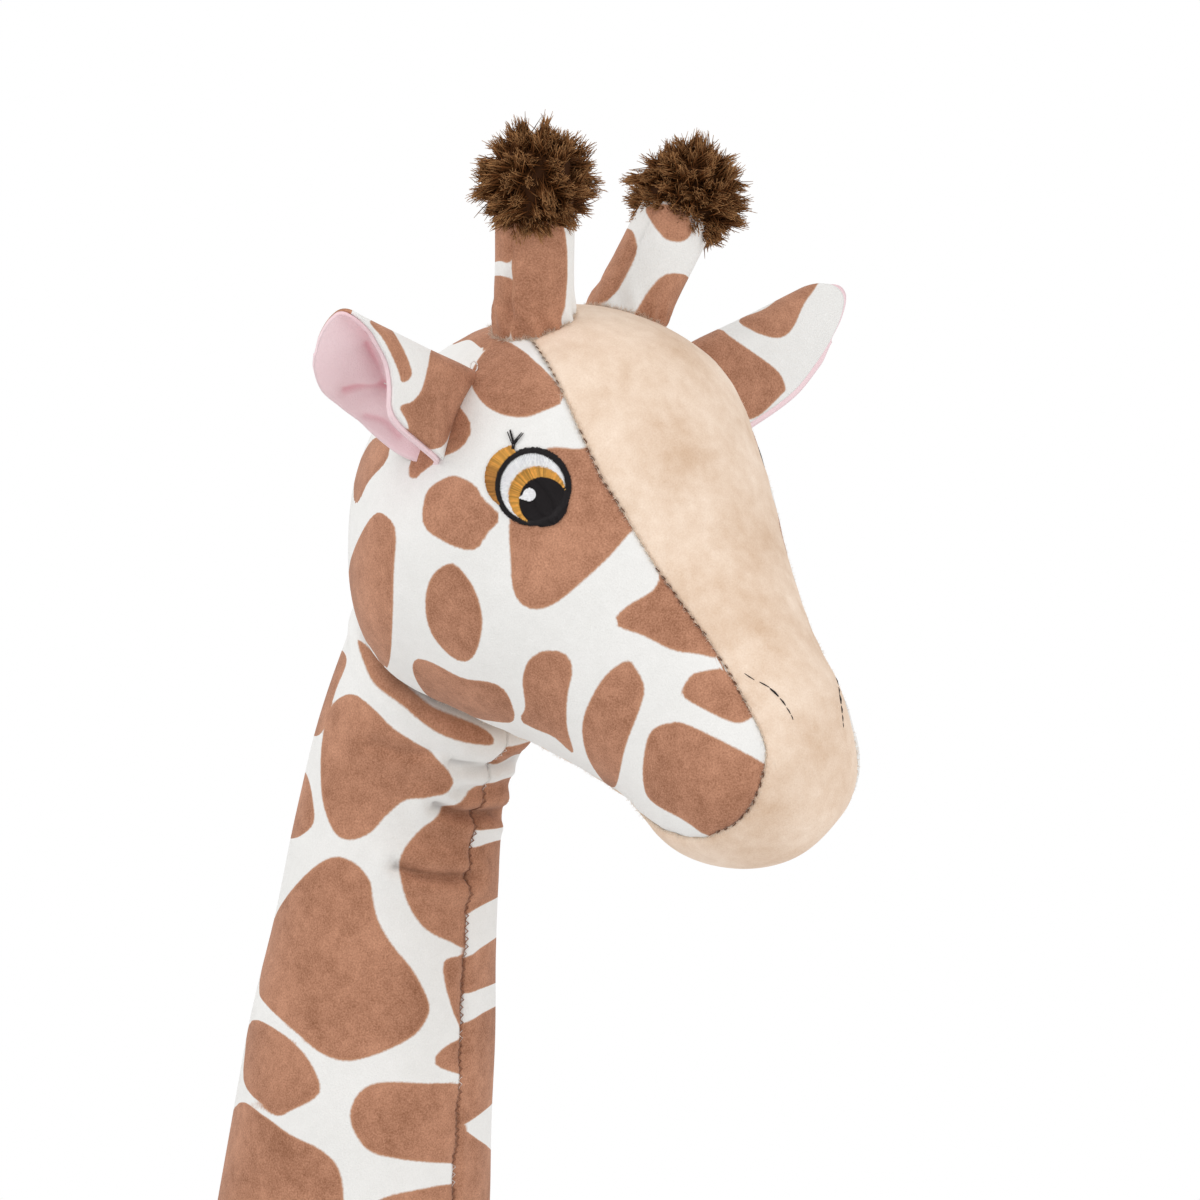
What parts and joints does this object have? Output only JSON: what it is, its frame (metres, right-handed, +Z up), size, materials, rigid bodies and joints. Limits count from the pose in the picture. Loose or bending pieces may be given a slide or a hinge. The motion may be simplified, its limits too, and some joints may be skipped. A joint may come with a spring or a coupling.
{
  "type": "plush giraffe",
  "caption": "Standing plush giraffe with a long stuffed neck, a nodding head, folded sewn ears, fur-tipped horns and a swinging tail.",
  "frame": {"origin": "on the ground, in the plane between its left and right legs, under the middle of its length", "axes": "+Z up, -Y the way the giraffe faces, +X its own left side"},
  "size_m": [0.2283, 0.4494, 0.6992],
  "materials": {
    "spotted_plush": "short dense pile, white with printed brown spots",
    "white_plush": "short dense pile, white",
    "beige_plush": "short dense pile, beige",
    "pink_plush": "short soft pile, pale pink",
    "hoof_plush": "short dense pile, brown",
    "dark_fur": "long shaggy fur, dark brown with lighter tips",
    "embroidery_thread": "satin-stitched thread, black with white and orange",
    "stuffing_fibre": "loose polyester fibre"
  },
  "bodies": {
    "torso": {"neck_panel_right": "spotted_plush", "neck_panel_left": "spotted_plush", "neck_stuffing": "stuffing_fibre", "body_panel_right": "spotted_plush", "body_panel_left": "spotted_plush", "belly_gusset": "white_plush", "body_stuffing": "stuffing_fibre", "leg_front_right_skin": "spotted_plush", "leg_front_right_stuffing": "stuffing_fibre", "leg_front_right_hoof_cuff": "hoof_plush", "leg_front_right_sole": "hoof_plush", "leg_front_left_skin": "spotted_plush", "leg_front_left_stuffing": "stuffing_fibre", "leg_front_left_hoof_cuff": "hoof_plush", "leg_front_left_sole": "hoof_plush", "leg_hind_right_skin": "spotted_plush", "leg_hind_right_stuffing": "stuffing_fibre", "leg_hind_right_hoof_cuff": "hoof_plush", "leg_hind_right_sole": "hoof_plush", "leg_hind_left_skin": "spotted_plush", "leg_hind_left_stuffing": "stuffing_fibre", "leg_hind_left_hoof_cuff": "hoof_plush", "leg_hind_left_sole": "hoof_plush"},
    "head": {"head_panel_right": "spotted_plush", "head_panel_left": "spotted_plush", "blaze_muzzle_panel": "beige_plush", "head_stuffing": "stuffing_fibre", "eye_embroidery_right": "embroidery_thread", "eye_embroidery_left": "embroidery_thread", "nostril_stitch_right": "embroidery_thread", "nostril_stitch_left": "embroidery_thread", "horn_skin_right": "spotted_plush", "horn_skin_left": "spotted_plush", "horn_stuffing_right": "stuffing_fibre", "horn_stuffing_left": "stuffing_fibre", "horn_pompom_right": "dark_fur", "horn_pompom_left": "dark_fur"},
    "ear_right": {"ear_outer_right": "spotted_plush", "ear_lining_right": "pink_plush"},
    "ear_left": {"ear_outer_left": "spotted_plush", "ear_lining_left": "pink_plush"},
    "tail": {"tail_tube": "spotted_plush", "tail_tuft": "dark_fur"}
  },
  "joints": [
    {"name": "head_nod", "type": "hinge", "parent": "torso", "child": "head", "pos_m": [0, -0.07029, 0.52835], "axis": [1, 0, 0], "range_deg": [-8, 8], "stiffness_Nm_per_rad": 5},
    {"name": "ear_flap_right", "type": "hinge", "parent": "head", "child": "ear_right", "pos_m": [-0.05455, -0.11933, 0.60621], "axis": [0.5566, -0.074, 0.8274], "range_deg": [-15, 15], "stiffness_Nm_per_rad": 0.05},
    {"name": "ear_flap_left", "type": "hinge", "parent": "head", "child": "ear_left", "pos_m": [0.05455, -0.11933, 0.60621], "axis": [0.5566, 0.074, -0.8274], "range_deg": [-15, 15], "stiffness_Nm_per_rad": 0.05},
    {"name": "tail_swing", "type": "hinge", "parent": "torso", "child": "tail", "pos_m": [0, 0.16107, 0.25], "axis": [1, 0, 0], "range_deg": [0, 60]}
  ]
}
